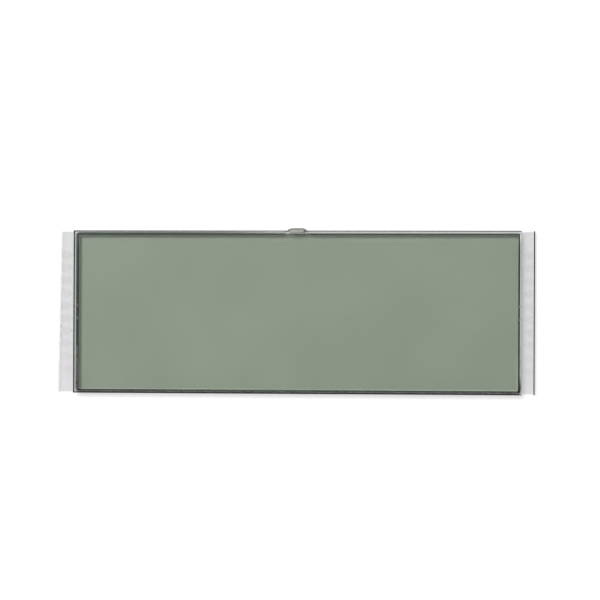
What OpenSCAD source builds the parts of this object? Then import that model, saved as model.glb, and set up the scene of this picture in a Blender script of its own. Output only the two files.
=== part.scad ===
// Reflective segment display cell: two glass plates sealed round a film of liquid crystal,
// with a polariser on each outer face and a reflector under the rear one.
// It lies on its reflector. X runs along the length, between the two contact ledges,
// Y towards the edge with the fill port, and Z out of the face that is looked at.
// All lengths are in millimetres. Films that are really under a micrometre thick
// (electrodes and alignment layers) are drawn a micrometre thick.

/* [Glass plates] */
// Length of the front plate
front_glass_length = 89.7; // [70:0.1:120]
// Width of both plates, from the fill port edge to the plain edge
glass_width = 32.5; // [31:0.1:60]
// Depth of the left contact ledge, where the rear plate runs past the front one
left_ledge = 3.1; // [2.4:0.05:5]
// Depth of the right contact ledge
right_ledge = 2.5; // [2.4:0.05:5]
// Thickness of the rear plate
rear_glass_t = 1.1; // [0.4:0.05:2]
// Thickness of the front plate
front_glass_t = 1.1; // [0.4:0.05:2]
// How far both plates are cut off the middle of the printed pattern, along X and Y
cut_shift = [-0.1, 0.06]; // [-0.15:0.01:0.15]
// How far the left end of the rear plate is cut out of square, in degrees
left_skew = -1.1; // [-1.5:0.05:1.5]
// Chamfer on the outer edges of both plates
arris = 0.2; // [0.05:0.01:0.25]
// Chamfer on the edges where the plates face each other
seam_arris = 0.04; // [0.03:0.01:0.05]

/* [Edge chips] */
// Places of the three chips along the left end of the rear plate
chip_places = [0.96, -2.84, -4.64]; // [-12:0.02:12]
// Lengths of the chips along the edge
chip_lengths = [1.1, 1.4, 1.7]; // [0.5:0.1:3]
// How far each chip bites into the plate
chip_depths = [0.14, 0.2, 0.17]; // [0.05:0.01:0.3]

/* [Films on the outside] */
// Margin of bare glass round both polarisers
polariser_inset = 0.49; // [0.4:0.01:2]
// Corner radius of the cut films
film_corner_r = 0.3; // [0.1:0.1:2]
// Thickness of the front polariser
front_polariser_t = 0.18; // [0.1:0.01:0.3]
// Thickness of the adhesive under the front polariser
front_adhesive_t = 0.025; // [0.015:0.005:0.05]
// Thickness of the rear polariser
rear_polariser_t = 0.18; // [0.1:0.01:0.3]
// Thickness of the adhesive above the rear polariser
rear_adhesive_t = 0.025; // [0.015:0.005:0.05]
// Thickness of the reflector film
reflector_t = 0.05; // [0.03:0.01:0.2]
// Thickness of the adhesive between reflector and rear polariser
reflector_adhesive_t = 0.02; // [0.01:0.005:0.05]

/* [Cell] */
// Distance between the inner faces of the plates
cell_gap = 0.01; // [0.008:0.001:0.02]
// Drawn thickness of the electrode film
electrode_t = 0.001; // [0.0005:0.0005:0.0015]
// Drawn thickness of the alignment layers, measured over the electrodes
alignment_t = 0.001; // [0.0005:0.0005:0.0015]
// Distance from the cut edge of the front plate to the seal
seal_margin = 0.24; // [0.2:0.01:0.5]
// Width of the printed seal line
seal_width = 0.6; // [0.6:0.02:1.1]
// Radius of the seal's inner corners
seal_inner_r = 0.2; // [0.2:0.05:1.5]
// Diameter of the conductive crossover dots in the seal
crossover_d = 0.4; // [0.3:0.05:0.4]
// How far the electrodes reach round a crossover dot
landing_border = 0.08; // [0.05:0.01:0.1]

/* [Fill port] */
// Distance of the port from the middle of its edge
port_place = 0; // [-20:0.5:20]
// Width of the port where it opens at the plate edge
port_mouth = 3.4; // [2:0.1:6]
// How much the port widens inwards, on each side
port_flare = 1; // [0.4:0.1:2]
// Width of the seal's legs that lead the port out to the plate edge
leg_width = 0.8; // [0.5:0.1:2]
// How deep the end seal wicks into the port
plug_depth = 0.9; // [0.5:0.05:1]
// Radius of the meniscus where the end seal meets the liquid crystal
meniscus_r = 12; // [6:1:30]
// Width of the hardened drop on the plate edge
drop_width = 4; // [3.6:0.1:8]
// How far the drop stands out of the plate edge
drop_bulge = 0.52; // [0.2:0.02:1]
// Height of the drop where it meets the plate edge
drop_height = 2.08; // [1.8:0.04:2.1]
// How far the drop wraps inwards over the chamfers and faces of the plates
drop_wrap = 0.36; // [0.3:0.02:0.4]

/* [Segment pattern] */
// Number of digits
digit_count = 8; // [4:2:8]
// Space at each end between the row of digits and the seal, where the leads turn
end_space = 4.01; // [3.6:0.01:6]
// Space from one digit to the next
digit_gap = 2.8; // [2.4:0.1:4]
// Height of a digit
digit_height = 17; // [12:0.5:20]
// Width of a segment
stroke = 1.5; // [0.8:0.1:1.8]
// How far the mitred segment corners are set back; the gap between segments is 1.41 times this
corner = 0.2; // [0.15:0.05:0.3]
// Radius of the decimal point
point_r = 0.4; // [0.25:0.05:0.45]
// Width of the leads
lead_width = 0.25; // [0.15:0.05:0.3]
// Distance from one lead to the next
track_pitch = 0.5; // [0.4:0.05:0.6]
// Least distance from the digits to the nearest lead beside them
track_clearance = 1.4; // [1:0.1:1.6]
// How far a lead overlaps the segment that it feeds
lead_bite = 0.1; // [0.05:0.01:0.12]
// Size of the chamfer where a lead turns
lead_turn = 0.5; // [0.3:0.1:0.5]

/* [Common electrodes] */
// Etched gap between neighbouring common electrodes
etched_gap = 0.05; // [0.03:0.01:0.08]
// Border of common electrode above and below the digits
common_border = 0.5; // [0.4:0.05:0.8]
// Width of the legs and tabs that lead a common electrode to its crossover dot
tab_width = 0.4; // [0.3:0.05:0.5]
// Distance from the digit field to a leg's centre line
leg_clearance = 0.35; // [0.32:0.01:0.4]
// Distance from a leg's centre line to the nearest lead outside it
leg_to_lead = 0.85; // [0.7:0.05:1]

/* [Contact pads] */
// Distance from one contact pad to the next
pad_pitch = 2.54; // [2:0.01:2.6]
// Width of a contact pad
pad_width = 1.6; // [1:0.1:1.8]
// Bare glass left outside and inside of the pads on the ledge
pad_margin = 0.4; // [0.35:0.05:0.5]

/* [Hidden] */
$fn = 96;
half_length = front_glass_length / 2;
half_width = glass_width / 2;
left_end = cut_shift.x - half_length - left_ledge;
right_end = cut_shift.x + half_length + right_ledge;
port_edge = cut_shift.y + half_width;

// Heights, from the reflector up
z_reflector_adhesive = reflector_t;
z_rear_polariser = z_reflector_adhesive + reflector_adhesive_t;
z_rear_adhesive = z_rear_polariser + rear_polariser_t;
z_rear_glass = z_rear_adhesive + rear_adhesive_t;
z_cell = z_rear_glass + rear_glass_t;
z_liquid = z_cell + electrode_t + alignment_t;
z_front_glass = z_cell + cell_gap;
z_front_electrode = z_front_glass - electrode_t;
z_front_alignment = z_front_electrode - alignment_t;
z_front_adhesive = z_front_glass + front_glass_t;
z_front_polariser = z_front_adhesive + front_adhesive_t;

// Films, seal and port, seen from above
film_length = front_glass_length - 2 * polariser_inset;
film_width = glass_width - 2 * polariser_inset;
seal_out_x = half_length - seal_margin;
seal_out_y = half_width - seal_margin;
seal_in_x = seal_out_x - seal_width;
seal_in_y = seal_out_y - seal_width;
seal_mid_x = seal_out_x - seal_width / 2;
seal_mid_y = seal_out_y - seal_width / 2;
seal_outer_r = seal_inner_r + seal_width;
landing_r = crossover_d / 2 + landing_border;
port_throat = port_mouth + 2 * port_flare;
plug_y = port_edge - plug_depth;

// The drop has a round section and round ends, about an axis inside the plate edge
drop_axis_depth = (drop_height * drop_height / 4 - drop_bulge * drop_bulge) / (2 * drop_bulge);
drop_r = drop_axis_depth + drop_bulge;
drop_straight = drop_width - drop_height;

// Digits and the leads round them
half_digit = digit_height / 2;
side_space = digit_gap / 2;
field_half = seal_in_x - end_space;
digit_pitch = 2 * field_half / digit_count;
digit_width = digit_pitch - digit_gap;
point_offset = side_space / 2;
side_digits = digit_count / 2;
fan_clearance = leg_clearance + leg_to_lead;
leg_x = field_half + leg_clearance;
common_y = half_digit + common_border;
pad_count = digit_count + 2;
common_pad = pad_pitch / 2;

// How far a shape runs past the face that cuts it off
past = 1;

// Plain shapes

// A rectangle with round corners, centred on the origin
module round_rect(length, width, r) {
    square([length - 2 * r, width], center = true);
    square([length, width - 2 * r], center = true);
    for (x = [-1, 1], y = [-1, 1])
        translate([x * (length / 2 - r), y * (width / 2 - r)])
            circle(r);
}

// A slab of a flat shape, from height z upwards
module layer(z, t) {
    translate([0, 0, z])
        linear_extrude(t)
            children();
}

// The section of a plate with chamfers low and high, standing on y = 0
module plate_section(width, t, low, high) {
    h = width / 2;
    polygon([
        [-h + low, 0], [h - low, 0], [h, low], [h, t - high],
        [h - high, t], [-h + high, t], [-h, t - high], [-h, low]
    ]);
}

// A plate with chamfered edges, centred on the origin and standing on z = 0.
// Chamfers: low all round, high_end on the upper edges of the ends, high_side on the sides
module plate(length, width, t, low, high_end, high_side) {
    intersection() {
        rotate([90, 0, 0])
            linear_extrude(width, center = true)
                plate_section(length, t, low, high_end);
        rotate([90, 0, 90])
            linear_extrude(length, center = true)
                plate_section(width, t, low, high_side);
    }
}

// A flat shape round a list of points, drawn anticlockwise whichever way the list runs
module outline(points) {
    polygon(turning(points) > 0 ? points : reversed(points));
}

function turning(points, i = 0, sum = 0) =
    i == len(points) ? sum :
    let (a = points[i], b = points[(i + 1) % len(points)])
    turning(points, i + 1, sum + a.x * b.y - a.y * b.x);

// Paths: a lead is a line of points with a width

function unit(v) = v / norm(v);
function across(a, b) = let (u = unit(b - a)) [-u.y, u.x];
function reversed(list) = [for (i = [len(list) - 1:-1:0]) list[i]];

// A point of a path moved sideways by d, so that straight stretches stay parallel
function beside(path, i, d) =
    let (
        last = len(path) - 1,
        before = i > 0 ? across(path[i - 1], path[i]) : across(path[0], path[1]),
        after = i < last ? across(path[i], path[i + 1]) : before
    )
    path[i] + (before + after) * d / (1 + before * after);

function shifted(path, d) = [for (i = [0:len(path) - 1]) beside(path, i, d)];

// A path whose corners are cut at 45 degrees
function turned(path, cut) = [
    for (i = [0:len(path) - 1])
        each (i == 0 || i == len(path) - 1) ? [path[i]] : [
            path[i] - cut * unit(path[i] - path[i - 1]),
            path[i] + cut * unit(path[i + 1] - path[i])
        ]
];

module lead(path, width) {
    outline(concat(shifted(path, width / 2), reversed(shifted(path, -width / 2))));
}

// Digits: seven segments in two lines, each line one conductor

function digit_x(k) = -field_half + k * digit_pitch + side_space;

segment_a = [
    [corner, half_digit], [stroke + corner, half_digit - stroke],
    [digit_width - stroke - corner, half_digit - stroke], [digit_width - corner, half_digit]
];
segment_f = [
    [0, half_digit - corner], [0, corner], [stroke / 2, corner],
    [stroke, stroke / 2 + corner], [stroke, half_digit - stroke - corner]
];
segment_g = [
    [stroke / 2 + corner, 0], [stroke + corner, stroke / 2],
    [digit_width - stroke - corner, stroke / 2], [digit_width - stroke / 2 - corner, 0],
    [digit_width - stroke - corner, -stroke / 2], [stroke + corner, -stroke / 2]
];

function upside_down(points) = [for (p = points) [p.x, -p.y]];
function swapped(points) = [for (p = points) [digit_width - p.x, p.y]];

// Joins the upper and the lower segment of one side across the gap between them
module side_bridge(x) {
    translate([x, -2 * corner])
        square([lead_width, 4 * corner]);
}

// Upper left, middle, lower left and bottom segments
module left_line() {
    outline(segment_f);
    outline(segment_g);
    outline(upside_down(segment_f));
    outline(upside_down(segment_a));
    side_bridge(0);
    translate([0, -lead_width / 2])
        square([stroke + 2 * corner, lead_width]);
    translate([0, -half_digit])
        square(2 * corner);
}

// Top, upper right and lower right segments and the decimal point
module right_line() {
    outline(segment_a);
    outline(swapped(segment_f));
    outline(swapped(upside_down(segment_f)));
    side_bridge(digit_width - lead_width);
    translate([digit_width - 2 * corner, half_digit - 2 * corner])
        square(2 * corner);
    translate([digit_width + point_offset, -half_digit + point_r])
        circle(point_r);
    translate([digit_width - lead_bite, -half_digit + point_r - lead_width / 2])
        square([point_offset, lead_width]);
}

// Contact pads and leads. Pads are counted outwards from the middle of a ledge, and leads
// outwards from the digits, so that nested leads reach nested pads without crossing.

function pad_y(j) = common_pad + (j + 1) * pad_pitch;
track_start = max(half_digit + track_clearance, pad_y(side_digits - 1) + 2 * lead_turn);
function track_y(j) = track_start + j * track_pitch;
function fan_x(j) = field_half + fan_clearance + j * track_pitch;

// A pad on the ledge beyond the end at x = side * half_length, with 45 degree shoulders
module pad(side, y, ledge) {
    inner = half_length + pad_margin;
    outer = half_length + ledge - pad_margin;
    shoulder = (pad_width - lead_width) / 2;
    outline([
        [side * inner, y - lead_width / 2], [side * (inner + shoulder), y - pad_width / 2],
        [side * outer, y - pad_width / 2], [side * outer, y + pad_width / 2],
        [side * (inner + shoulder), y + pad_width / 2], [side * inner, y + lead_width / 2]
    ]);
}

// The lead from a segment at [x, up * y], round the digits to pad j of one ledge
module fan_lead(side, up, x, y, j) {
    lead(turned([
        [x, up * y], [x, up * track_y(j)], [side * fan_x(j), up * track_y(j)],
        [side * fan_x(j), up * pad_y(j)], [side * (half_length + 2 * pad_margin), up * pad_y(j)]
    ], lead_turn), lead_width);
}

function ledge_of(side) = side < 0 ? left_ledge : right_ledge;

// All conductors that carry segments and lead to one ledge: side is -1 or 1
module segment_conductors(side) {
    for (j = [0:side_digits - 1]) {
        k = side < 0 ? j : digit_count - 1 - j;
        union() {
            translate([digit_x(k), 0])
                left_line();
            fan_lead(side, 1, digit_x(k) + lead_bite - lead_width / 2, half_digit - stroke, j);
            pad(side, pad_y(j), ledge_of(side));
        }
        union() {
            translate([digit_x(k), 0])
                right_line();
            fan_lead(side, -1, digit_x(k) + digit_width - lead_bite + lead_width / 2,
                     half_digit - stroke, j);
            pad(side, -pad_y(j), ledge_of(side));
        }
    }
}

// The two short conductors of one ledge that end under the crossover dots
module common_conductors(side) {
    for (up = [-1, 1]) {
        union() {
            translate([side * seal_mid_x, up * common_pad])
                circle(landing_r);
            lead([[side * seal_mid_x, up * common_pad],
                  [side * (half_length + 2 * pad_margin), up * common_pad]], lead_width);
            pad(side, up * common_pad, ledge_of(side));
        }
    }
}

module rear_conductors() {
    for (side = [-1, 1]) {
        segment_conductors(side);
        common_conductors(side);
    }
}

// Common electrodes: four bands along the row of digits. Each border between two bands
// steps round the segments, so that every segment of a line lies under another band.

function placed(k, points) = [for (p = points) [digit_x(k) + p.x, p.y]];
function along_digits(one) = [for (k = [0:digit_count - 1]) each placed(k, one)];

m = corner / 2;
right_side = digit_width + side_space;

// Under the upper left and top segments, over the middle and upper right ones
border_4_3 = along_digits([
    [-side_space, m], [stroke / 2 + m, m], [stroke + m, stroke / 2 + m],
    [stroke + m, half_digit - stroke - m], [digit_width - stroke - m, half_digit - stroke - m],
    [digit_width + m, half_digit + m], [right_side, half_digit + m]
]);

// Under the middle and upper right segments, over the two lower side ones
border_3_2 = along_digits([
    [-side_space, -m], [stroke / 2 + m, -m], [stroke + m, -stroke / 2 - m],
    [digit_width - stroke - m, -stroke / 2 - m], [digit_width - stroke / 2 - m, -m]
]);

// Under the two lower side segments, over the bottom one and the decimal point
border_2_1 = along_digits([
    [-side_space, -half_digit - m], [-m, -half_digit - m],
    [stroke + m, -half_digit + stroke + m], [digit_width - stroke - m, -half_digit + stroke + m],
    [digit_width + m, -half_digit - m],
    [digit_width + point_offset - point_r - m, -half_digit - m],
    [digit_width + point_offset - point_r - m, -half_digit + 2 * point_r + m],
    [digit_width + point_offset + point_r + m, -half_digit + 2 * point_r + m],
    [digit_width + point_offset + point_r + m, -half_digit - m]
]);

function ended(border, y) = concat(border, [[field_half, y]]);

// A band between an upper and a lower border
module band(upper, lower) {
    outline(concat(upper, reversed(lower)));
}

// A tab on the inner side of the front plate that ends over a crossover dot
module dot_tab(path, side, up) {
    lead(concat(path, [[side * seal_mid_x, up * common_pad]]), tab_width);
    translate([side * seal_mid_x, up * common_pad])
        circle(landing_r);
}

module common_band_4() {
    band([[-field_half, common_y], [field_half, common_y]], shifted(border_4_3, etched_gap / 2));
    dot_tab([[field_half - stroke, common_y - tab_width / 2], [leg_x, common_y - tab_width / 2],
             [leg_x, common_pad]], 1, 1);
}

module common_band_3() {
    band(shifted(border_4_3, -etched_gap / 2),
         shifted(ended(border_3_2, -m), etched_gap / 2));
    translate([-leg_x, -m + etched_gap / 2])
        square([leg_clearance + side_space, corner - etched_gap]);
    dot_tab([[-leg_x, -tab_width / 2], [-leg_x, common_pad]], -1, 1);
}

module common_band_2() {
    band(shifted(ended(border_3_2, -m), -etched_gap / 2),
         shifted(ended(border_2_1, -half_digit - m), etched_gap / 2));
    dot_tab([[-field_half + side_space, -common_pad]], -1, -1);
}

module common_band_1() {
    band(shifted(ended(border_2_1, -half_digit - m), -etched_gap / 2),
         [[-field_half, -common_y], [field_half, -common_y]]);
    dot_tab([[field_half - stroke, tab_width / 2 - common_y], [leg_x, tab_width / 2 - common_y],
             [leg_x, -common_pad]], 1, -1);
}

module front_conductors() {
    common_band_1();
    common_band_2();
    common_band_3();
    common_band_4();
}

// Seal, port and what fills the cell, seen from above

// Everything inside the seal line
module cell_floor() {
    round_rect(2 * seal_in_x, 2 * seal_in_y, seal_inner_r);
}

// The port: wide at the cell, narrow at the plate edge
module port() {
    translate([port_place, 0])
        polygon([
            [-port_throat / 2, seal_in_y], [port_throat / 2, seal_in_y],
            [port_mouth / 2, port_edge - seam_arris], [-port_mouth / 2, port_edge - seam_arris]
        ]);
}

// The liquid crystal ends in the port at a meniscus that bulges outwards
module liquid_in_port() {
    intersection() {
        port();
        translate([port_place, plug_y - meniscus_r])
            circle(meniscus_r);
    }
}

module seal_line() {
    difference() {
        union() {
            difference() {
                round_rect(2 * seal_out_x, 2 * seal_out_y, seal_outer_r);
                cell_floor();
            }
            translate([port_place - port_mouth / 2 - leg_width, seal_mid_y])
                square([port_mouth + 2 * leg_width, port_edge - seam_arris - seal_mid_y]);
        }
        port();
        translate([port_place - port_throat / 2, seal_in_y - past])
            square([port_throat, past]);
    }
}

module crossover_places(side) {
    for (up = [-1, 1])
        translate([side * seal_mid_x, up * common_pad])
            circle(d = crossover_d);
}

// Solids, from the reflector up

module film() {
    round_rect(film_length, film_width, film_corner_r);
}

module reflector_film() {
    color("silver")
        layer(0, reflector_t)
            film();
}

module reflector_adhesive() {
    color("gainsboro")
        layer(z_reflector_adhesive, reflector_adhesive_t)
            film();
}

module rear_polariser() {
    color("#7F8A7B")
        layer(z_rear_polariser, rear_polariser_t)
            film();
}

module rear_adhesive() {
    color("gainsboro")
        layer(z_rear_adhesive, rear_adhesive_t)
            film();
}

// Puts a shape drawn at the origin on the rear plate's skewed left end
module at_left_end() {
    translate([left_end, cut_shift.y, z_rear_glass])
        rotate([0, 0, left_skew])
            children();
}

// A shell-shaped chip that runs down the cut at the rear plate's left end
module chip(place, length, depth) {
    r = (length * length / 4 + depth * depth) / (2 * depth);
    at_left_end()
        translate([depth - r, place, rear_glass_t / 2])
            sphere(r);
}

// The rear plate, cut a little long at first and then cut off askew at its left end
module rear_plate() {
    length = right_end - left_end + past;
    intersection() {
        translate([right_end - length / 2, cut_shift.y, z_rear_glass])
            plate(length, glass_width, rear_glass_t, arris, arris, seam_arris);
        at_left_end()
            translate([length, 0, 0])
                rotate([90, 0, 0])
                    linear_extrude(2 * glass_width, center = true)
                        plate_section(2 * length, rear_glass_t, arris, arris);
    }
}

module front_plate() {
    translate([cut_shift.x, cut_shift.y, z_front_glass])
        plate(front_glass_length, glass_width, front_glass_t, seam_arris, arris, arris);
}

module rear_glass() {
    color("#D6DAD6")
        difference() {
            rear_plate();
            for (i = [0:len(chip_places) - 1])
                chip(chip_places[i], chip_lengths[i], chip_depths[i]);
        }
}

module left_segment_leads() {
    color("#9FB2A8")
        layer(z_cell, electrode_t)
            segment_conductors(-1);
}

module right_segment_leads() {
    color("#9FB2A8")
        layer(z_cell, electrode_t)
            segment_conductors(1);
}

module left_common_pads() {
    color("#8FA69B")
        layer(z_cell, electrode_t)
            common_conductors(-1);
}

module right_common_pads() {
    color("#8FA69B")
        layer(z_cell, electrode_t)
            common_conductors(1);
}

module rear_alignment_layer() {
    color("#C9C3A0") {
        layer(z_cell, electrode_t)
            difference() {
                cell_floor();
                rear_conductors();
            }
        layer(z_cell + electrode_t, alignment_t)
            cell_floor();
    }
}

module perimeter_seal() {
    color("#4B4F4E") {
        layer(z_cell, electrode_t)
            difference() {
                seal_line();
                rear_conductors();
            }
        layer(z_cell + electrode_t, cell_gap - 2 * electrode_t)
            difference() {
                seal_line();
                crossover_places(-1);
                crossover_places(1);
            }
        layer(z_front_electrode, electrode_t)
            difference() {
                seal_line();
                front_conductors();
            }
    }
}

module left_crossover_dots() {
    color("silver")
        layer(z_cell + electrode_t, cell_gap - 2 * electrode_t)
            crossover_places(-1);
}

module right_crossover_dots() {
    color("silver")
        layer(z_cell + electrode_t, cell_gap - 2 * electrode_t)
            crossover_places(1);
}

module liquid_crystal() {
    color("#8C9787") {
        layer(z_liquid, z_front_alignment - z_liquid)
            cell_floor();
        layer(z_cell, cell_gap)
            liquid_in_port();
    }
}

// The hardened drop: a spindle about an axis that lies in the seam, a little inside the edge
module drop() {
    translate([port_place, port_edge - drop_axis_depth, z_cell + cell_gap / 2])
        rotate([0, 90, 0])
            rotate_extrude()
                intersection() {
                    union() {
                        for (end = [-1, 1])
                            translate([0, end * drop_straight / 2])
                                circle(drop_r);
                        translate([0, -drop_straight / 2])
                            square([drop_r, drop_straight]);
                    }
                    translate([0, -drop_width])
                        square(2 * drop_width);
                }
}

module end_seal() {
    color("#C8C3BE") {
        difference() {
            intersection() {
                drop();
                translate([port_place - drop_width, port_edge - drop_wrap, 0])
                    cube([2 * drop_width, drop_width, 2 * z_front_polariser]);
            }
            rear_plate();
            front_plate();
            layer(z_cell, cell_gap)
                translate([port_place - drop_width, port_edge - seam_arris - drop_width])
                    square([2 * drop_width, drop_width]);
        }
        layer(z_cell, cell_gap)
            difference() {
                port();
                liquid_in_port();
            }
    }
}

module front_alignment_layer() {
    color("#C9C3A0") {
        layer(z_front_alignment, alignment_t)
            cell_floor();
        layer(z_front_electrode, electrode_t)
            difference() {
                cell_floor();
                front_conductors();
            }
    }
}

module common_electrode_1() {
    color("#A9BDB3")
        layer(z_front_electrode, electrode_t)
            common_band_1();
}

module common_electrode_2() {
    color("#93AB9F")
        layer(z_front_electrode, electrode_t)
            common_band_2();
}

module common_electrode_3() {
    color("#A9BDB3")
        layer(z_front_electrode, electrode_t)
            common_band_3();
}

module common_electrode_4() {
    color("#93AB9F")
        layer(z_front_electrode, electrode_t)
            common_band_4();
}

module front_glass() {
    color("#D6DAD6")
        front_plate();
}

module front_adhesive() {
    color("gainsboro")
        layer(z_front_adhesive, front_adhesive_t)
            film();
}

module front_polariser() {
    color("#8C9787")
        layer(z_front_polariser, front_polariser_t)
            film();
}

reflector_film();
reflector_adhesive();
rear_polariser();
rear_adhesive();
rear_glass();
left_segment_leads();
right_segment_leads();
left_common_pads();
right_common_pads();
rear_alignment_layer();
perimeter_seal();
left_crossover_dots();
right_crossover_dots();
liquid_crystal();
end_seal();
front_alignment_layer();
common_electrode_1();
common_electrode_2();
common_electrode_3();
common_electrode_4();
front_glass();
front_adhesive();
front_polariser();
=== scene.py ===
"""Looks of a flat reflective liquid crystal cell, seen straight from above on a white floor.

The cell is a stack of clear and half-clear layers over a bright reflector. No layer bends the
view, so each one is a see-through surface with its own tint and gloss, and the eye gets the
colour of the face from all of them together: light passes the front polariser, meets the
reflector and passes it again. Many faces touch each other, and a ray may meet either of two
touching faces, so a tint sits only on a face that touches no other layer. Where the printed seal
lies below the polariser it looks dark, which makes the frame round the face.
"""

import logging
import math
from dataclasses import dataclass, field
from enum import Enum
from typing import Callable, Dict, List, Optional, Tuple, Union

import bpy
from mathutils import Euler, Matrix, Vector

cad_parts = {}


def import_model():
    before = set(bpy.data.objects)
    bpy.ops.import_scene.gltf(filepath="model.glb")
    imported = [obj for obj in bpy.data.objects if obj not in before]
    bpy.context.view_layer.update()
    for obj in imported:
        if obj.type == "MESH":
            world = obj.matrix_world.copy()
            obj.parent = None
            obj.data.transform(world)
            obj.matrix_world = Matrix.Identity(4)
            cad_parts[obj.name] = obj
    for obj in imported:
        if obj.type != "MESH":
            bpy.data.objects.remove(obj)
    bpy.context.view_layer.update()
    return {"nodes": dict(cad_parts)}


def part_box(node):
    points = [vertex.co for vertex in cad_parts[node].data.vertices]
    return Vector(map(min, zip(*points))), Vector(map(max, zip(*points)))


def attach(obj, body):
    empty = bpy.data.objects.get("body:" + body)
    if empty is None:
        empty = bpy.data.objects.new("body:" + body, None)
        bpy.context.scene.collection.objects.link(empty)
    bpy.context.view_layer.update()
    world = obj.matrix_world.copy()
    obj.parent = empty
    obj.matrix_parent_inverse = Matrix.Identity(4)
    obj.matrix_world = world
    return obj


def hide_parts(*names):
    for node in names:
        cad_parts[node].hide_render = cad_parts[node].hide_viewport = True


log = logging.getLogger("cell")
MM = 0.001
# How far two heights may differ that are the same but for rounding, in metres
ROUNDING = 0.0000005
# The height of a normal above which a face is flat, and below which it stands upright
FLAT = 0.95
UPRIGHT = 0.3
# The share of light that glass and plastic mirror straight back
STRAIGHT_MIRROR = 0.04
# Half the width of the soft border where one layer ends on another, in metres
BORDER = 0.02 * MM
WHITE = (1.0, 1.0, 1.0, 1.0)
BLACK = (0.0, 0.0, 0.0, 1.0)

Value = Union[float, bpy.types.NodeSocket]


class Side(Enum):
    """The four sides of the cell as the viewer sees them, each with its outward direction."""

    LEFT = (-1.0, 0.0)
    RIGHT = (1.0, 0.0)
    UPPER = (0.0, 1.0)
    LOWER = (0.0, -1.0)

    def owns(self, normal: Vector) -> bool:
        """Says whether a face with that normal looks to this side."""
        return normal.x * self.value[0] + normal.y * self.value[1] > UPRIGHT


def darker(code: str, share: float) -> str:
    """Gives a darker tone of an sRGB hex colour, each part times a share."""
    return "".join(f"{int(int(code[i : i + 2], 16) * share):02X}" for i in (0, 2, 4))


def linear(code: str) -> Tuple[float, float, float, float]:
    """Turns an sRGB hex colour into the linear colour that shaders take.

    Args:
        code: six hex digits, such as "8C9787".

    Returns:
        The red, green and blue parts from 0 to 1, and an alpha of 1.
    """
    parts = [int(code[i : i + 2], 16) / 255 for i in (0, 2, 4)]
    flat = [p / 12.92 if p <= 0.04045 else ((p + 0.055) / 1.055) ** 2.4 for p in parts]
    return (flat[0], flat[1], flat[2], 1.0)


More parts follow.
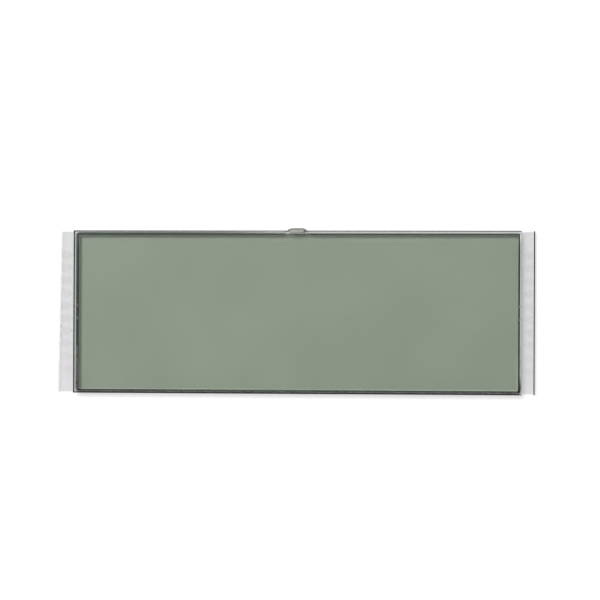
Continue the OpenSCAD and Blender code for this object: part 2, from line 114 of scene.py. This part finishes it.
class Nodes:
    """The node tree of one material, built up node by node."""

    def __init__(self, name: str) -> None:
        """Starts an empty material of that name."""
        self.material = bpy.data.materials.new(name)
        self.material.use_nodes = True
        self.tree = self.material.node_tree
        self.tree.nodes.clear()

    def add(self, kind: str, inputs: Optional[Dict] = None, **settings) -> bpy.types.Node:
        """Adds a node with its settings and links.

        Args:
            kind: the node's type, such as "ShaderNodeMath".
            inputs: what goes into its sockets: a value, or the socket that feeds it.
            settings: the node's own settings.

        Returns:
            The new node.
        """
        node = self.tree.nodes.new(kind)
        for key, value in settings.items():
            setattr(node, key, value)
        for key, value in (inputs or {}).items():
            if isinstance(value, bpy.types.NodeSocket):
                self.tree.links.new(value, node.inputs[key])
            else:
                node.inputs[key].default_value = value
        return node

    def math(self, operation: str, *values: Value) -> bpy.types.NodeSocket:
        """Adds a math node and returns what it gives."""
        return self.add("ShaderNodeMath", dict(enumerate(values)), operation=operation).outputs[0]

    def length(self, across: Value, along: Value) -> bpy.types.NodeSocket:
        """Gives the length of the way that goes so far across and so far along."""
        squares = [self.math("POWER", way, 2.0) for way in (across, along)]
        return self.math("SQRT", self.math("ADD", *squares))

    def place(self) -> bpy.types.Node:
        """Splits the place in the part's own frame, in metres, into X, Y and Z."""
        where = self.add("ShaderNodeTexCoord").outputs["Object"]
        return self.add("ShaderNodeSeparateXYZ", {0: where})

    def noise(self, size_mm: float, detail: float = 2.0) -> bpy.types.NodeSocket:
        """Adds a noise pattern.

        Args:
            size_mm: the real size of one patch.
            detail: how many finer octaves it has.

        Returns:
            The pattern's value from 0 to 1.
        """
        where = self.add("ShaderNodeTexCoord").outputs["Object"]
        inputs = {"Vector": where, "Scale": 1.0 / (size_mm * MM), "Detail": detail}
        return self.add("ShaderNodeTexNoise", inputs).outputs["Fac"]

    def ramp(
        self, value: Value, low: Value, high: Value, to_low: Value, to_high: Value
    ) -> bpy.types.NodeSocket:
        """Adds a smooth step of a value from one range to another and returns it."""
        inputs = {0: value, 1: low, 2: high, 3: to_low, 4: to_high}
        node = self.add("ShaderNodeMapRange", inputs, interpolation_type="SMOOTHSTEP")
        return node.outputs[0]

    def blend(self, share: Value, low, high) -> bpy.types.NodeSocket:
        """Mixes two colours, or the sockets that feed them, by a share and returns the result."""
        node = self.add("ShaderNodeMix", data_type="RGBA")
        for socket, value in ((0, share), (6, low), (7, high)):
            if isinstance(value, bpy.types.NodeSocket):
                self.tree.links.new(value, node.inputs[socket])
            else:
                node.inputs[socket].default_value = value
        return node.outputs[2]

    def over(self, half_x: float, half_y: float) -> bpy.types.NodeSocket:
        """Gives how far a place lies outside a rectangle, in metres, less than 0 inside it."""
        at = self.place()
        over_x = self.math("SUBTRACT", self.math("ABSOLUTE", at.outputs[0]), half_x)
        over_y = self.math("SUBTRACT", self.math("ABSOLUTE", at.outputs[1]), half_y)
        return self.math("MAXIMUM", over_x, over_y)

    def outside(self, half_x: float, half_y: float, soft: float) -> bpy.types.NodeSocket:
        """Gives 1 outside a rectangle and 0 inside it, with a soft step."""
        return self.ramp(self.over(half_x, half_y), -soft, soft, 0.0, 1.0)

    def outward_fresnel(self, ior: float) -> bpy.types.NodeSocket:
        """Gives the share of light that a surface mirrors, and none from inside the layer."""
        share = self.add("ShaderNodeFresnel", {"IOR": ior}).outputs[0]
        inside = self.add("ShaderNodeNewGeometry").outputs["Backfacing"]
        return self.math("MULTIPLY", share, self.math("SUBTRACT", 1.0, inside))

    def finish(self, shader: bpy.types.NodeSocket) -> bpy.types.Material:
        """Puts a shader on the surface and returns the material."""
        self.add("ShaderNodeOutputMaterial", {"Surface": shader})
        return self.material

    def see_through(
        self, share: Value, body: bpy.types.NodeSocket, tint: Union[Tuple, Value] = WHITE
    ) -> bpy.types.Material:
        """Puts a shader on part of the surface and lets light pass the rest.

        Args:
            share: the share of the surface that the shader takes.
            body: the shader.
            tint: the colour of the light that passes.

        Returns:
            The material.
        """
        clear = self.add("ShaderNodeBsdfTransparent", {"Color": tint}).outputs[0]
        mixed = self.add("ShaderNodeMixShader", {0: share, 1: clear, 2: body})
        return self.finish(mixed.outputs[0])


@dataclass(frozen=True)
class ClearLayer:
    """A see-through layer: a tint that light takes on as it passes, and a little gloss.

    Args:
        name: the material's name.
        tint: the sRGB hex colour of light after one pass.
        ior: the index of refraction, which sets the gloss.
        gloss: the share of the full surface reflection that shows.
        roughness: how soft the reflection is.
        haze: the share of the surface that shows its own colour.
        body: the sRGB hex colour of that haze.
        cloud_mm: the size of the faint clouds in the tint.
        cloud: how strongly they darken it.
        covered: half the length and width of the area where another layer lies on it, in
            metres. There it has no tint and no gloss of its own.
        face: the height of the one face that carries the tint and the haze, in metres, or
            None where all faces do.
    """

    name: str
    tint: str
    ior: float
    gloss: float = 1.0
    roughness: float = 0.05
    haze: float = 0.0
    body: str = "FFFFFF"
    cloud_mm: float = 14.0
    cloud: float = 0.02
    covered: Tuple[float, float] = (0.0, 0.0)
    face: Optional[float] = None

    def shown(self, n: Nodes) -> bpy.types.NodeSocket:
        """Gives 1 where the layer has its tint and haze, and 0 where it stays clear."""
        apart = n.math("ABSOLUTE", n.math("SUBTRACT", n.place().outputs[2], self.face))
        share = n.math("LESS_THAN", apart, BORDER)
        if self.covered[0]:
            share = n.math("MULTIPLY", share, n.outside(*self.covered, BORDER))
        return share

    def flaws_and_shade(self, n: Nodes, base: bpy.types.NodeSocket) -> bpy.types.NodeSocket:
        """Gives the share of light that the layer takes away, which is only its clouds here."""
        return base

    def material(self) -> bpy.types.Material:
        """Builds the material."""
        n = Nodes(self.name)
        clouds = n.ramp(n.noise(self.cloud_mm), 0.3, 0.7, 0.0, self.cloud)
        # What the layer takes away: its clouds and marks, and in the front glass strips of painted
        # shade
        dim = self.flaws_and_shade(n, clouds)
        tint = n.blend(dim, linear(self.tint), BLACK)
        haze = self.haze
        if self.face is not None:
            shown = self.shown(n)
            tint = n.blend(shown, WHITE, tint)
            haze = n.math("MULTIPLY", shown, self.haze)
        # The Fresnel share is all mirror, so the shader behind it is a full mirror, unless hazy
        mirrored = STRAIGHT_MIRROR * self.gloss
        body = n.add(
            "ShaderNodeBsdfPrincipled",
            {
                "Base Color": linear(self.body),
                "Roughness": self.roughness,
                "Metallic": mirrored / (mirrored + self.haze),
            },
        )
        share = n.math("MULTIPLY", n.outward_fresnel(self.ior), self.gloss)
        if self.covered[0]:
            share = n.math("MULTIPLY", share, n.outside(*self.covered, BORDER))
        return n.see_through(n.math("ADD", share, haze), body.outputs[0], tint)


@dataclass(frozen=True)
class Chip:
    """A shallow flake that has cracked off an end of the glass.

    Args:
        x: its middle, in metres.
        y: its middle along the end.
        length: how long it is along the end.
        depth: how far it reaches inwards.
        dim: the share of light that it scatters away.
    """

    x: float
    y: float
    length: float
    depth: float
    dim: float


@dataclass(frozen=True)
class ChippedGlass(ClearLayer):
    """Glass with flakes cracked off one end, which look like grey marks from above.

    Args:
        chips: the flakes.
        grain_mm: the size of the roughness in them.
    """

    chips: Tuple[Chip, ...] = ()
    grain_mm: float = 0.25

    def flaws_and_shade(self, n: Nodes, base: bpy.types.NodeSocket) -> bpy.types.NodeSocket:
        """Adds the flakes to the share of light that the layer takes away."""
        at = n.place()
        rough = n.ramp(n.noise(self.grain_mm), 0.35, 0.65, 0.6, 1.0)
        for chip in self.chips:
            across = n.math("DIVIDE", n.math("SUBTRACT", at.outputs[0], chip.x), chip.depth)
            along = n.math("DIVIDE", n.math("SUBTRACT", at.outputs[1], chip.y), chip.length / 2)
            far = n.length(across, along)
            mark = n.math("MULTIPLY", n.ramp(far, 0.5, 1.0, chip.dim, 0.0), rough)
            base = n.math("MAXIMUM", base, mark)
        return base


@dataclass(frozen=True)
class MarginShadedGlass(ClearLayer):
    """Glass with a strip of painted shade beside three of its edges, next to its ground chamfers.

    Args:
        half_x: half the length of the plate, in metres.
        half_y: half its width.
        strip: the width of the darker strip.
        left_shade: the share of light that the painted shade takes beside the left edge.
        low_shade: the share that the painted shade takes beside the lower edge.
        high_shade: the share that the painted shade takes beside the upper edge, towards the left.
    """

    half_x: float = 0.0
    half_y: float = 0.0
    strip: float = 0.44 * MM
    left_shade: float = 0.68
    low_shade: float = 0.70
    high_shade: float = 0.44

    def flaws_and_shade(self, n: Nodes, base: bpy.types.NodeSocket) -> bpy.types.NodeSocket:
        """Adds the strips of painted shade to the share of light that the layer takes away."""
        at = n.place()
        left = n.math("ADD", at.outputs[0], self.half_x)
        low = n.math("ADD", at.outputs[1], self.half_y)
        high = n.math("SUBTRACT", self.half_y, at.outputs[1])
        # Painted shade: the light comes from the upper left, so the upper strip is painted dark at
        # its left part only
        shaded = n.ramp(at.outputs[0], -15 * MM, -2 * MM, self.high_shade, 0.0)
        # Each strip is painted shade along its edge
        for far, width, dim in (
            (left, self.strip, self.left_shade),
            (low, self.strip, self.low_shade),
            (high, self.strip * 0.7, shaded),
        ):
            base = n.math("MAXIMUM", base, n.ramp(far, width * 0.8, width, dim, 0.0))
        return base


@dataclass(frozen=True)
class LeadOxide(ClearLayer):
    """The oxide of leads and pads: it tints light on the bare ledges, and is lost in the liquid.

    Args:
        open_x: half the length of the filled area, in metres.
        open_y: half its width.
        dim: the share of light that it takes on a ledge.
    """

    open_x: float = 0.0
    open_y: float = 0.0
    dim: float = 0.025

    def flaws_and_shade(self, n: Nodes, base: bpy.types.NodeSocket) -> bpy.types.NodeSocket:
        """Adds the tint on the ledges to the share of light that the layer takes away."""
        bare = n.math("MULTIPLY", n.outside(self.open_x, self.open_y, 0.1 * MM), self.dim)
        return n.math("MAXIMUM", base, bare)


@dataclass(frozen=True)
class Solid:
    """A finish that light doesn't pass, or only partly.

    Args:
        name: the material's name.
        colour: its sRGB hex colour.
        second: the sRGB hex colour of its darker patches.
        roughness: how soft its reflections are.
        metallic: 1 for bare metal.
        patch_mm: the size of the patches.
        cover: the share of light that it stops.
        shine: the strength of its reflections, 0.5 for bare plastic or glass in air.
    """

    name: str
    colour: str
    second: str
    roughness: float
    metallic: float = 0.0
    patch_mm: float = 1.0
    cover: float = 1.0
    shine: float = 0.5

    def tone(self, n: Nodes, base: bpy.types.NodeSocket) -> bpy.types.NodeSocket:
        """Gives the colour, which is only the patches here."""
        return base

    def material(self) -> bpy.types.Material:
        """Builds the material."""
        n = Nodes(self.name)
        patches = n.ramp(n.noise(self.patch_mm, 4.0), 0.35, 0.7, 0.0, 1.0)
        colour = self.tone(n, n.blend(patches, linear(self.colour), linear(self.second)))
        inputs = {
            "Base Color": colour,
            "Roughness": self.roughness,
            "Metallic": self.metallic,
            "Specular IOR Level": self.shine,
        }
        body = n.add("ShaderNodeBsdfPrincipled", inputs).outputs[0]
        return n.see_through(self.cover, body) if self.cover < 1.0 else n.finish(body)


@dataclass(frozen=True)
class Reflector(Solid):
    """The reflector, with a painted light line along the lower edge, where the seal's wall throws
    more light down on it.

    Args:
        half_x: half the length of the filled area above it, in metres.
        half_y: half its width.
        painted_light: how far the painted light line goes towards white.
        line: the width of that line along the lower edge.
        side_line: its width at the lower right corner.
    """

    half_x: float = 0.0
    half_y: float = 0.0
    painted_light: float = 0.4
    line: float = 0.34 * MM
    side_line: float = 0.7 * MM

    def tone(self, n: Nodes, base: bpy.types.NodeSocket) -> bpy.types.NodeSocket:
        """Adds the painted light line along the lower edge and at the lower right corner."""
        at = n.place()
        low = n.math("ADD", at.outputs[1], self.half_y)
        line = n.ramp(low, 0.0, self.line, self.painted_light, 0.0)
        uneven = n.ramp(n.noise(9.0), 0.35, 0.65, 0.5, 1.0)
        line = n.math("MULTIPLY", line, uneven)
        line = n.math("MULTIPLY", line, n.math("GREATER_THAN", low, 0.0))
        end = n.math("SUBTRACT", self.half_x, at.outputs[0])
        side = n.ramp(end, 0.0, self.side_line, self.painted_light * 0.5, 0.0)
        corner = n.ramp(low, 3 * MM, 9 * MM, 1.0, 0.0)
        return n.blend(n.math("MAXIMUM", line, n.math("MULTIPLY", side, corner)), base, WHITE)


@dataclass(frozen=True)
class SealFinish:
    """Printed seal: dark where the polariser covers it, a little clear in the open, with light and
    shade painted into its colour by side.

    Args:
        film_x: half the length of the polariser, in metres.
        film_y: half its width.
        left: the sRGB hex colour in the open, at the left, painted as the shaded side.
        lower: the sRGB hex colour in the open, at the lower edge, painted as deep shade.
        bright: the sRGB hex colour in the open, painted lit, on the side that the light falls on.
        dark: the sRGB hex colour under the polariser.
        upper_dark_lit: the sRGB hex colour there along the upper edge, painted lighter as the lit
            side.
        lower_dark_shaded: the sRGB hex colour there along the lower edge, painted darker as shade.
        inner: how far it reaches below the polariser.
        fade: the width over which the print thins out at its inner border.
        clear: the share of light that its painted lit part lets through.
    """

    film_x: float
    film_y: float
    left: str = "8A8F8D"
    lower: str = "141716"
    bright: str = "FAFCFA"
    dark: str = "303534"
    upper_dark_lit: str = "5A605F"
    lower_dark_shaded: str = "080A0B"
    inner: float = 0.36 * MM
    fade: float = 0.12 * MM
    clear: float = 0.12

    def material(self) -> bpy.types.Material:
        """Builds the material."""
        n = Nodes("seal epoxy")
        at = n.place()
        over = n.over(self.film_x, self.film_y)
        outside = n.ramp(over, -0.03 * MM, 0.03 * MM, 0.0, 1.0)
        # Painted light and shade: the light comes from the upper left and falls on the walls at
        # the right and the top, which are painted lit, and the lower edge is painted shaded
        along = n.ramp(at.outputs[0], -25 * MM, 10 * MM, 0.0, 1.0)
        upper = n.ramp(at.outputs[1], 12 * MM, 15 * MM, 0.0, 1.0)
        lower = n.ramp(at.outputs[1], -12 * MM, -15 * MM, 0.0, 1.0)
        right = n.ramp(at.outputs[0], 42 * MM, 44 * MM, 0.0, 0.6)
        lit = n.math("MAXIMUM", n.math("MULTIPLY", along, upper), right)
        open_colour = n.blend(lit, linear(self.left), linear(self.bright))
        open_colour = n.blend(lower, open_colour, linear(self.lower))
        # Under the polariser the upper edge is painted lighter and the lower edge darker, as light
        # and shade
        shut = n.blend(upper, linear(self.dark), linear(self.upper_dark_lit))
        shut = n.blend(lower, shut, linear(self.lower_dark_shaded))
        colour = n.blend(outside, shut, open_colour)
        inputs = {"Base Color": colour, "Roughness": 0.5, "Specular IOR Level": 0.05}
        body = n.add("ShaderNodeBsdfPrincipled", inputs).outputs[0]
        full = n.ramp(over, -self.inner, self.fade - self.inner, 0.85, 0.995)
        thin = n.math("MULTIPLY", n.math("MULTIPLY", outside, lit), self.clear)
        return n.see_through(n.math("SUBTRACT", full, thin), body)


def only(piece: bpy.types.Object) -> None:
    """Makes a piece the only one selected, and the active one."""
    bpy.ops.object.select_all(action="DESELECT")
    piece.select_set(True)
    bpy.context.view_layer.objects.active = piece


def copy_of(node: str, name: str) -> bpy.types.Object:
    """Copies a CAD node's mesh into a piece of its own, with merged corners.

    Args:
        node: the CAD node's name.
        name: the new piece's name.

    Returns:
        The new piece, with no materials.
    """
    only(FRAME["nodes"][node])
    bpy.ops.object.duplicate()
    piece = bpy.context.view_layer.objects.active
    piece.name = name
    piece.data.materials.clear()
    bpy.ops.object.mode_set(mode="EDIT")
    bpy.ops.mesh.select_all(action="SELECT")
    bpy.ops.mesh.remove_doubles(threshold=1e-8)
    bpy.ops.object.mode_set(mode="OBJECT")
    return piece


def paint(piece: bpy.types.Object, finish: bpy.types.Material, chosen: Callable) -> None:
    """Gives a finish to the faces of a piece that a test chooses.

    Args:
        piece: the piece.
        finish: the material.
        chosen: the test, which takes a face.
    """
    piece.data.materials.append(finish)
    index = len(piece.data.materials) - 1
    for face in piece.data.polygons:
        if chosen(face):
            face.material_index = index


def handed(piece: bpy.types.Object, node: str) -> bpy.types.Object:
    """Says what a finished piece stands for, and logs it."""
    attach(piece, "root")
    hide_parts(node)
    log.info("%s: %d faces for %s", piece.name, len(piece.data.polygons), node)
    return piece


def dress(node: str, finish: bpy.types.Material) -> None:
    """Gives every slot of a CAD node a finish."""
    shown = FRAME["nodes"][node]
    for slot in shown.material_slots:
        slot.material = finish
    log.info("%s wears %s", node, finish.name)


@dataclass(frozen=True)
class EdgeShading:
    """How one edge of a glass plate looks, with the light and shade on that side painted in its
    colour.

    Args:
        colour: its sRGB hex colour, painted lighter or darker for the light on that side.
        cover: the share of light that it stops.
    """

    colour: str
    cover: float


@dataclass
class Plate:
    """A glass plate with clear faces, dull chamfers and broken cuts.

    Args:
        node: the CAD node that it stands for.
        name: the piece's name.
        chamfers: how the chamfers look on each side, with painted light and shade.
        cuts: how the cuts look on each side, with painted light and shade.
    """

    node: str
    name: str
    chamfers: Dict[Side, EdgeShading]
    cuts: Dict[Side, EdgeShading]

    def edge(self, piece: bpy.types.Object, side: Side, look: EdgeShading, sloped: bool) -> None:
        """Paints the chamfers or the cut of one side.

        Args:
            piece: the plate.
            side: the side of the cell.
            look: how that edge looks.
            sloped: True for the chamfers, False for the cut.
        """
        kind = "chamfer" if sloped else "cut"
        name = f"{self.name} {side.name.lower()} {kind}"
        second = darker(look.colour, 0.85)
        # Sawn glass: fine scratches make it dull, so it hardly mirrors; its colour paints the
        # light and shade on this side
        finish = Solid(name, look.colour, second, 0.35, patch_mm=0.5, cover=look.cover, shine=0.06)
        paint(
            piece,
            finish.material(),
            lambda f: side.owns(f.normal) and (UPRIGHT < abs(f.normal.z) <= FLAT) == sloped,
        )

    def build(self, clear: bpy.types.Material) -> bpy.types.Object:
        """Builds the plate.

        Args:
            clear: the finish of its faces.

        Returns:
            The finished piece.
        """
        piece = copy_of(self.node, self.name)
        paint(piece, clear, lambda f: abs(f.normal.z) > FLAT)
        for side in Side:
            self.edge(piece, side, self.chamfers[side], True)
            self.edge(piece, side, self.cuts[side], False)
        return handed(piece, self.node)


@dataclass
class EndSeal:
    """The hardened drop on the plate edge, with its plug in the fill port.

    Args:
        meniscus_r: the radius of the plug's inner end, in metres.
        light: the sRGB hex colour of the drop.
        dark: the sRGB hex colour of its darker patches.
        painted_curve_shade: the sRGB hex colour of the painted shade where it curves away.
        passed: the sRGB hex colour of the little light that it lets through.
        line: the sRGB hex colour of the line where the plug meets the liquid.
        smooth_deg: the angle between faces up to which they look like one surface.
    """

    meniscus_r: float = 12 * MM
    light: str = "A8A7A2"
    dark: str = "9B9A95"
    painted_curve_shade: str = "2E2E2D"
    passed: str = "E8E6DF"
    line: str = "4C5248"
    smooth_deg: float = 35.0

    def bead(self) -> bpy.types.Material:
        """Makes the finish of the drop: warm grey acrylic, with painted shade where it curves
        away.
        """
        n = Nodes("uv acrylic")
        facing = n.add("ShaderNodeLayerWeight", {"Blend": 0.5}).outputs["Facing"]
        curve = n.ramp(facing, 0.16, 0.6, 0.0, 0.9)
        patches = n.ramp(n.noise(0.7, 3.0), 0.3, 0.7, 0.0, 1.0)
        base = n.blend(patches, linear(self.light), linear(self.dark))
        colour = n.blend(curve, base, linear(self.painted_curve_shade))
        inputs = {"Base Color": colour, "Roughness": 0.12, "IOR": 1.5}
        body = n.add("ShaderNodeBsdfPrincipled", inputs).outputs[0]
        return n.see_through(n.ramp(curve, 0.0, 0.9, 0.78, 0.95), body, linear(self.passed))

    def plug(self) -> bpy.types.Material:
        """Makes the finish of the plug: clear, with a dark line where it meets the liquid."""
        n = Nodes("uv acrylic in the port")
        at = n.place()
        low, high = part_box("end_seal")
        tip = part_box("liquid_crystal")[1].y
        across = n.math("SUBTRACT", at.outputs[0], (low.x + high.x) / 2)
        along = n.math("SUBTRACT", at.outputs[1], tip - self.meniscus_r)
        depth = n.math("SUBTRACT", n.length(across, along), self.meniscus_r)
        inputs = {"Base Color": linear(self.line), "Roughness": 0.3}
        body = n.add("ShaderNodeBsdfPrincipled", inputs).outputs[0]
        return n.see_through(n.ramp(depth, 0.05 * MM, 0.2 * MM, 0.4, 0.05), body)

    def build(self) -> bpy.types.Object:
        """Builds the end seal.

        Returns:
            The finished piece.
        """
        piece = copy_of("end_seal", "end_seal_drop")
        low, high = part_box("perimeter_seal")
        bottom, top = low.z - ROUNDING, high.z + ROUNDING
        paint(piece, self.bead(), lambda f: True)
        paint(piece, self.plug(), lambda f: bottom < f.center.z < top and f.center.y < high.y)
        bpy.ops.object.shade_smooth_by_angle(angle=math.radians(self.smooth_deg))
        return handed(piece, "end_seal")


class Cell:
    """The whole display cell: two plates, and the layers between and on them."""

    def __init__(self) -> None:
        """Measures the polariser and the filled area, on which the other looks depend."""
        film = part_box("front_polariser")[1]
        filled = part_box("front_alignment_layer")[1]
        self.film = (film.x, film.y)
        self.film_top = film.z
        self.filled = (filled.x, filled.y)

    def front_plate(self) -> None:
        """Builds the front plate, whose ground chamfers are painted dark to draw the outline, with
        painted light and shade by side.
        """
        low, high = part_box("front_glass")
        # Clear glass, a little grey in the bare margin, with painted shade in strips beside the
        # chamfers
        glass = MarginShadedGlass(
            "soda lime glass",
            "F4F4F4",
            1.52,
            cloud=0.005,
            covered=self.film,
            face=high.z,
            half_x=-low.x,
            half_y=(high.y - low.y) / 2,
        )
        # The chamfer and cut colours are painted light and shade by side, not colours of the
        # glass: the right edges are painted pale and half open, the others dark
        chamfers = {
            Side.LEFT: EdgeShading("080A09", 1.0),
            Side.RIGHT: EdgeShading("8E9492", 0.35),
            Side.UPPER: EdgeShading("060707", 1.0),
            Side.LOWER: EdgeShading("1C1F1E", 1.0),
        }
        cuts = {
            Side.LEFT: EdgeShading("59655F", 0.4),
            Side.RIGHT: EdgeShading("7C8380", 0.3),
            Side.UPPER: EdgeShading("4A4E4C", 0.5),
            Side.LOWER: EdgeShading("4A4E4C", 0.6),
        }
        Plate("front_glass", "front_plate", chamfers, cuts).build(glass.material())

    def rear_plate(self) -> None:
        """Builds the rear plate, with three flakes off its left end."""
        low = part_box("rear_glass")[0]
        chips = (
            Chip(low.x + 0.32 * MM, 1.0 * MM, 1.3 * MM, 0.55 * MM, 0.23),
            Chip(low.x + 0.26 * MM, -2.8 * MM, 1.6 * MM, 0.6 * MM, 0.39),
            Chip(low.x + 0.24 * MM, -4.7 * MM, 1.9 * MM, 0.5 * MM, 0.29),
        )
        # The same glass, which makes the bare ledges light grey on the white floor
        glass = ChippedGlass(
            "rear soda lime glass",
            "E0E0E0",
            1.52,
            cloud=0.005,
            chips=chips,
            covered=self.film,
            face=low.z,
        )
        # The chamfer and cut colours are painted light and shade by side: the right end, turned
        # away from the light, is painted dark, the other edges pale
        chamfers = {
            Side.LEFT: EdgeShading("E6E6E6", 0.4),
            Side.RIGHT: EdgeShading("1A1C1B", 0.9),
            Side.UPPER: EdgeShading("DADCDA", 0.15),
            Side.LOWER: EdgeShading("DADCDA", 0.15),
        }
        cuts = {
            Side.LEFT: EdgeShading("D8DAD8", 0.3),
            Side.RIGHT: EdgeShading("2A2C2B", 0.8),
            Side.UPPER: EdgeShading("C8CCCA", 0.2),
            Side.LOWER: EdgeShading("C8CCCA", 0.2),
        }
        Plate("rear_glass", "rear_plate", chamfers, cuts).build(glass.material())

    def films(self) -> None:
        """Dresses the polarisers, their adhesives and the reflector."""
        # The grey-green of the face, with a faint haze and a soft gloss from its matt surface
        film = ClearLayer(
            "polariser film",
            "D4D9D2",
            1.49,
            gloss=0.16,
            roughness=0.15,
            haze=0.04,
            body="9AA396",
            cloud=0.02,
            face=self.film_top,
        )
        dress("front_polariser", film.material())
        # Its tint is in the reflector's colour, because both its faces touch another layer
        rear_film = ClearLayer("rear polariser film", "FFFFFF", 1.49, gloss=0.02, cloud=0.001)
        dress("rear_polariser", rear_film.material())
        # Clear glue, which takes the gloss off the faces that it joins
        glue = ClearLayer("pressure adhesive", "FFFFFF", 1.47, gloss=0.02, cloud=0.001).material()
        for node in ("front_adhesive", "rear_adhesive", "reflector_adhesive"):
            dress(node, glue)
        # Dull silver film that sends the light back through the cell
        reflector = Reflector(
            "reflector",
            "ACB1A9",
            "A8ADA5",
            0.55,
            0.2,
            patch_mm=0.3,
            half_x=self.filled[0],
            half_y=self.filled[1],
        )
        dress("reflector_film", reflector.material())

    def filling(self) -> None:
        """Dresses the liquid crystal, the layers that align it and the seal round it."""
        # Rubbed plastic and a liquid, both clear while the cell is off
        aligned = ClearLayer("rubbed polyimide", "FFFFFF", 1.6, gloss=0.02, cloud=0.001).material()
        for node in ("front_alignment_layer", "rear_alignment_layer"):
            dress(node, aligned)
        fluid = ClearLayer("liquid crystal", "FFFFFF", 1.55, gloss=0.02, cloud=0.001)
        dress("liquid_crystal", fluid.material())
        dress("perimeter_seal", SealFinish(*self.film).material())

    def electrodes(self) -> None:
        """Dresses the conductors on both plates and the dots that join them."""
        # A clear conductor: its leads show as a faint gloss on the ledges only
        leads = LeadOxide(
            "indium tin oxide",
            "FFFFFF",
            1.9,
            gloss=0.15,
            roughness=0.02,
            cloud=0.001,
            covered=self.film,
            open_x=self.filled[0],
            open_y=self.filled[1],
        ).material()
        # Silver flakes in resin, small grey dots in the seal
        paste = Solid("silver paste", "9A9A97", "7C7C79", 0.5, patch_mm=0.05).material()
        for side in ("left", "right"):
            dress(f"{side}_segment_leads", leads)
            dress(f"{side}_common_pads", leads)
            dress(f"{side}_crossover_dots", paste)
        # The same oxide below the liquid's index, where nothing of it shows
        common = ClearLayer("covered indium tin oxide", "FFFFFF", 1.9, gloss=0.01, cloud=0.001)
        finish = common.material()
        for number in range(1, 5):
            dress(f"common_electrode_{number}", finish)

    def build(self) -> None:
        """Dresses every layer and builds the plates and the end seal."""
        self.front_plate()
        self.rear_plate()
        EndSeal().build()
        self.films()
        self.filling()
        self.electrodes()


@dataclass
class Studio:
    """A white floor under a soft light from the upper left.

    Args:
        aim: the point that the camera looks at, in metres.
        far: how far the camera is from it.
        tilt: how the camera is turned from looking straight down, in degrees.
        lens_mm: the focal length.
        sensor_mm: the sensor's width.
        key_from: the direction towards the main light.
        key_far: its distance in metres.
        key_size: its width.
        key_power: its power in watts.
        sky: the strength of the light from all round.
        glow: the strength of the light through the floor.
        floor_size: the width of the floor.
        floor_colour: the sRGB hex colour of the floor.
        glow_colour: the sRGB hex colour of that light.
    """

    aim: Vector = field(default_factory=lambda: Vector((0.743 * MM, 2.493 * MM, 2.69 * MM)))
    far: float = 662.3 * MM
    tilt: Tuple[float, float, float] = (0.661, 6.170, 0.254)
    lens_mm: float = 200.0
    sensor_mm: float = 36.0
    key_from: Vector = field(default_factory=lambda: Vector((-0.28, 0.40, 1.0)))
    key_far: float = 2.0
    key_size: float = 0.89
    key_power: float = 37.5
    sky: float = 0.66
    glow: float = 0.5
    floor_size: float = 6.0
    floor_colour: str = "C4C4C4"
    glow_colour: str = "F4F4F4"

    def floor(self) -> None:
        """Lays the floor, a white sheet with light below it, which keeps the shadow faint."""
        bpy.ops.mesh.primitive_plane_add(size=self.floor_size, location=(0, 0, 0))
        floor = bpy.context.view_layer.objects.active
        floor.name = "floor"
        n = Nodes("white floor")
        inputs = {
            "Base Color": linear(self.floor_colour),
            "Roughness": 0.9,
            "Specular IOR Level": 0.0,
            "Emission Color": linear(self.glow_colour),
            "Emission Strength": self.glow,
        }
        body = n.add("ShaderNodeBsdfPrincipled", inputs)
        floor.data.materials.append(n.finish(body.outputs[0]))

    def lights(self) -> None:
        """Sets the main light, a square soft box, and the light from all round."""
        way = self.key_from.normalized()
        bpy.ops.object.light_add(type="AREA", location=way * self.key_far)
        key = bpy.context.view_layer.objects.active
        key.name = "key"
        key.data.shape = "SQUARE"
        key.data.size = self.key_size
        key.data.energy = self.key_power
        key.rotation_euler = way.to_track_quat("Z", "Y").to_euler()
        self.sky_light()

    def sky_light(self) -> None:
        """Sets the light from all round, which is white where it is seen or mirrored."""
        world = bpy.data.worlds.new("studio")
        bpy.context.scene.world = world
        world.use_nodes = True
        tree = world.node_tree
        tree.nodes.clear()
        seen = tree.nodes.new("ShaderNodeLightPath")
        share = seen.outputs["Is Camera Ray"]
        for ray in ("Is Glossy Ray", "Is Transmission Ray"):
            either = tree.nodes.new("ShaderNodeMath")
            either.operation = "MAXIMUM"
            tree.links.new(share, either.inputs[0])
            tree.links.new(seen.outputs[ray], either.inputs[1])
            share = either.outputs[0]
        step = tree.nodes.new("ShaderNodeMapRange")
        step.inputs[3].default_value = self.sky
        step.inputs[4].default_value = 1.0
        light = tree.nodes.new("ShaderNodeBackground")
        out = tree.nodes.new("ShaderNodeOutputWorld")
        tree.links.new(share, step.inputs[0])
        tree.links.new(step.outputs[0], light.inputs["Strength"])
        tree.links.new(light.outputs[0], out.inputs["Surface"])

    def camera(self) -> None:
        """Hangs the camera above the part, a little to its right."""
        turn = Euler([math.radians(angle) for angle in self.tilt])
        way = turn.to_matrix() @ Vector((0, 0, 1))
        bpy.ops.object.camera_add(location=self.aim + way * self.far, rotation=turn)
        camera = bpy.context.view_layer.objects.active
        camera.data.lens = self.lens_mm
        camera.data.sensor_width = self.sensor_mm
        camera.data.clip_start = 0.01
        bpy.context.scene.camera = camera

    def build(self) -> None:
        """Sets up everything round the part."""
        self.floor()
        self.lights()
        self.camera()
        scene = bpy.context.scene
        scene.view_settings.view_transform = "Standard"
        scene.cycles.transparent_max_bounces = 96
        log.info("studio is set")


def main() -> None:
    global FRAME
    logging.basicConfig(level=logging.INFO, format="%(name)s: %(message)s")
    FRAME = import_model()
    Cell().build()
    Studio().build()


if __name__ == "__main__":
    main()
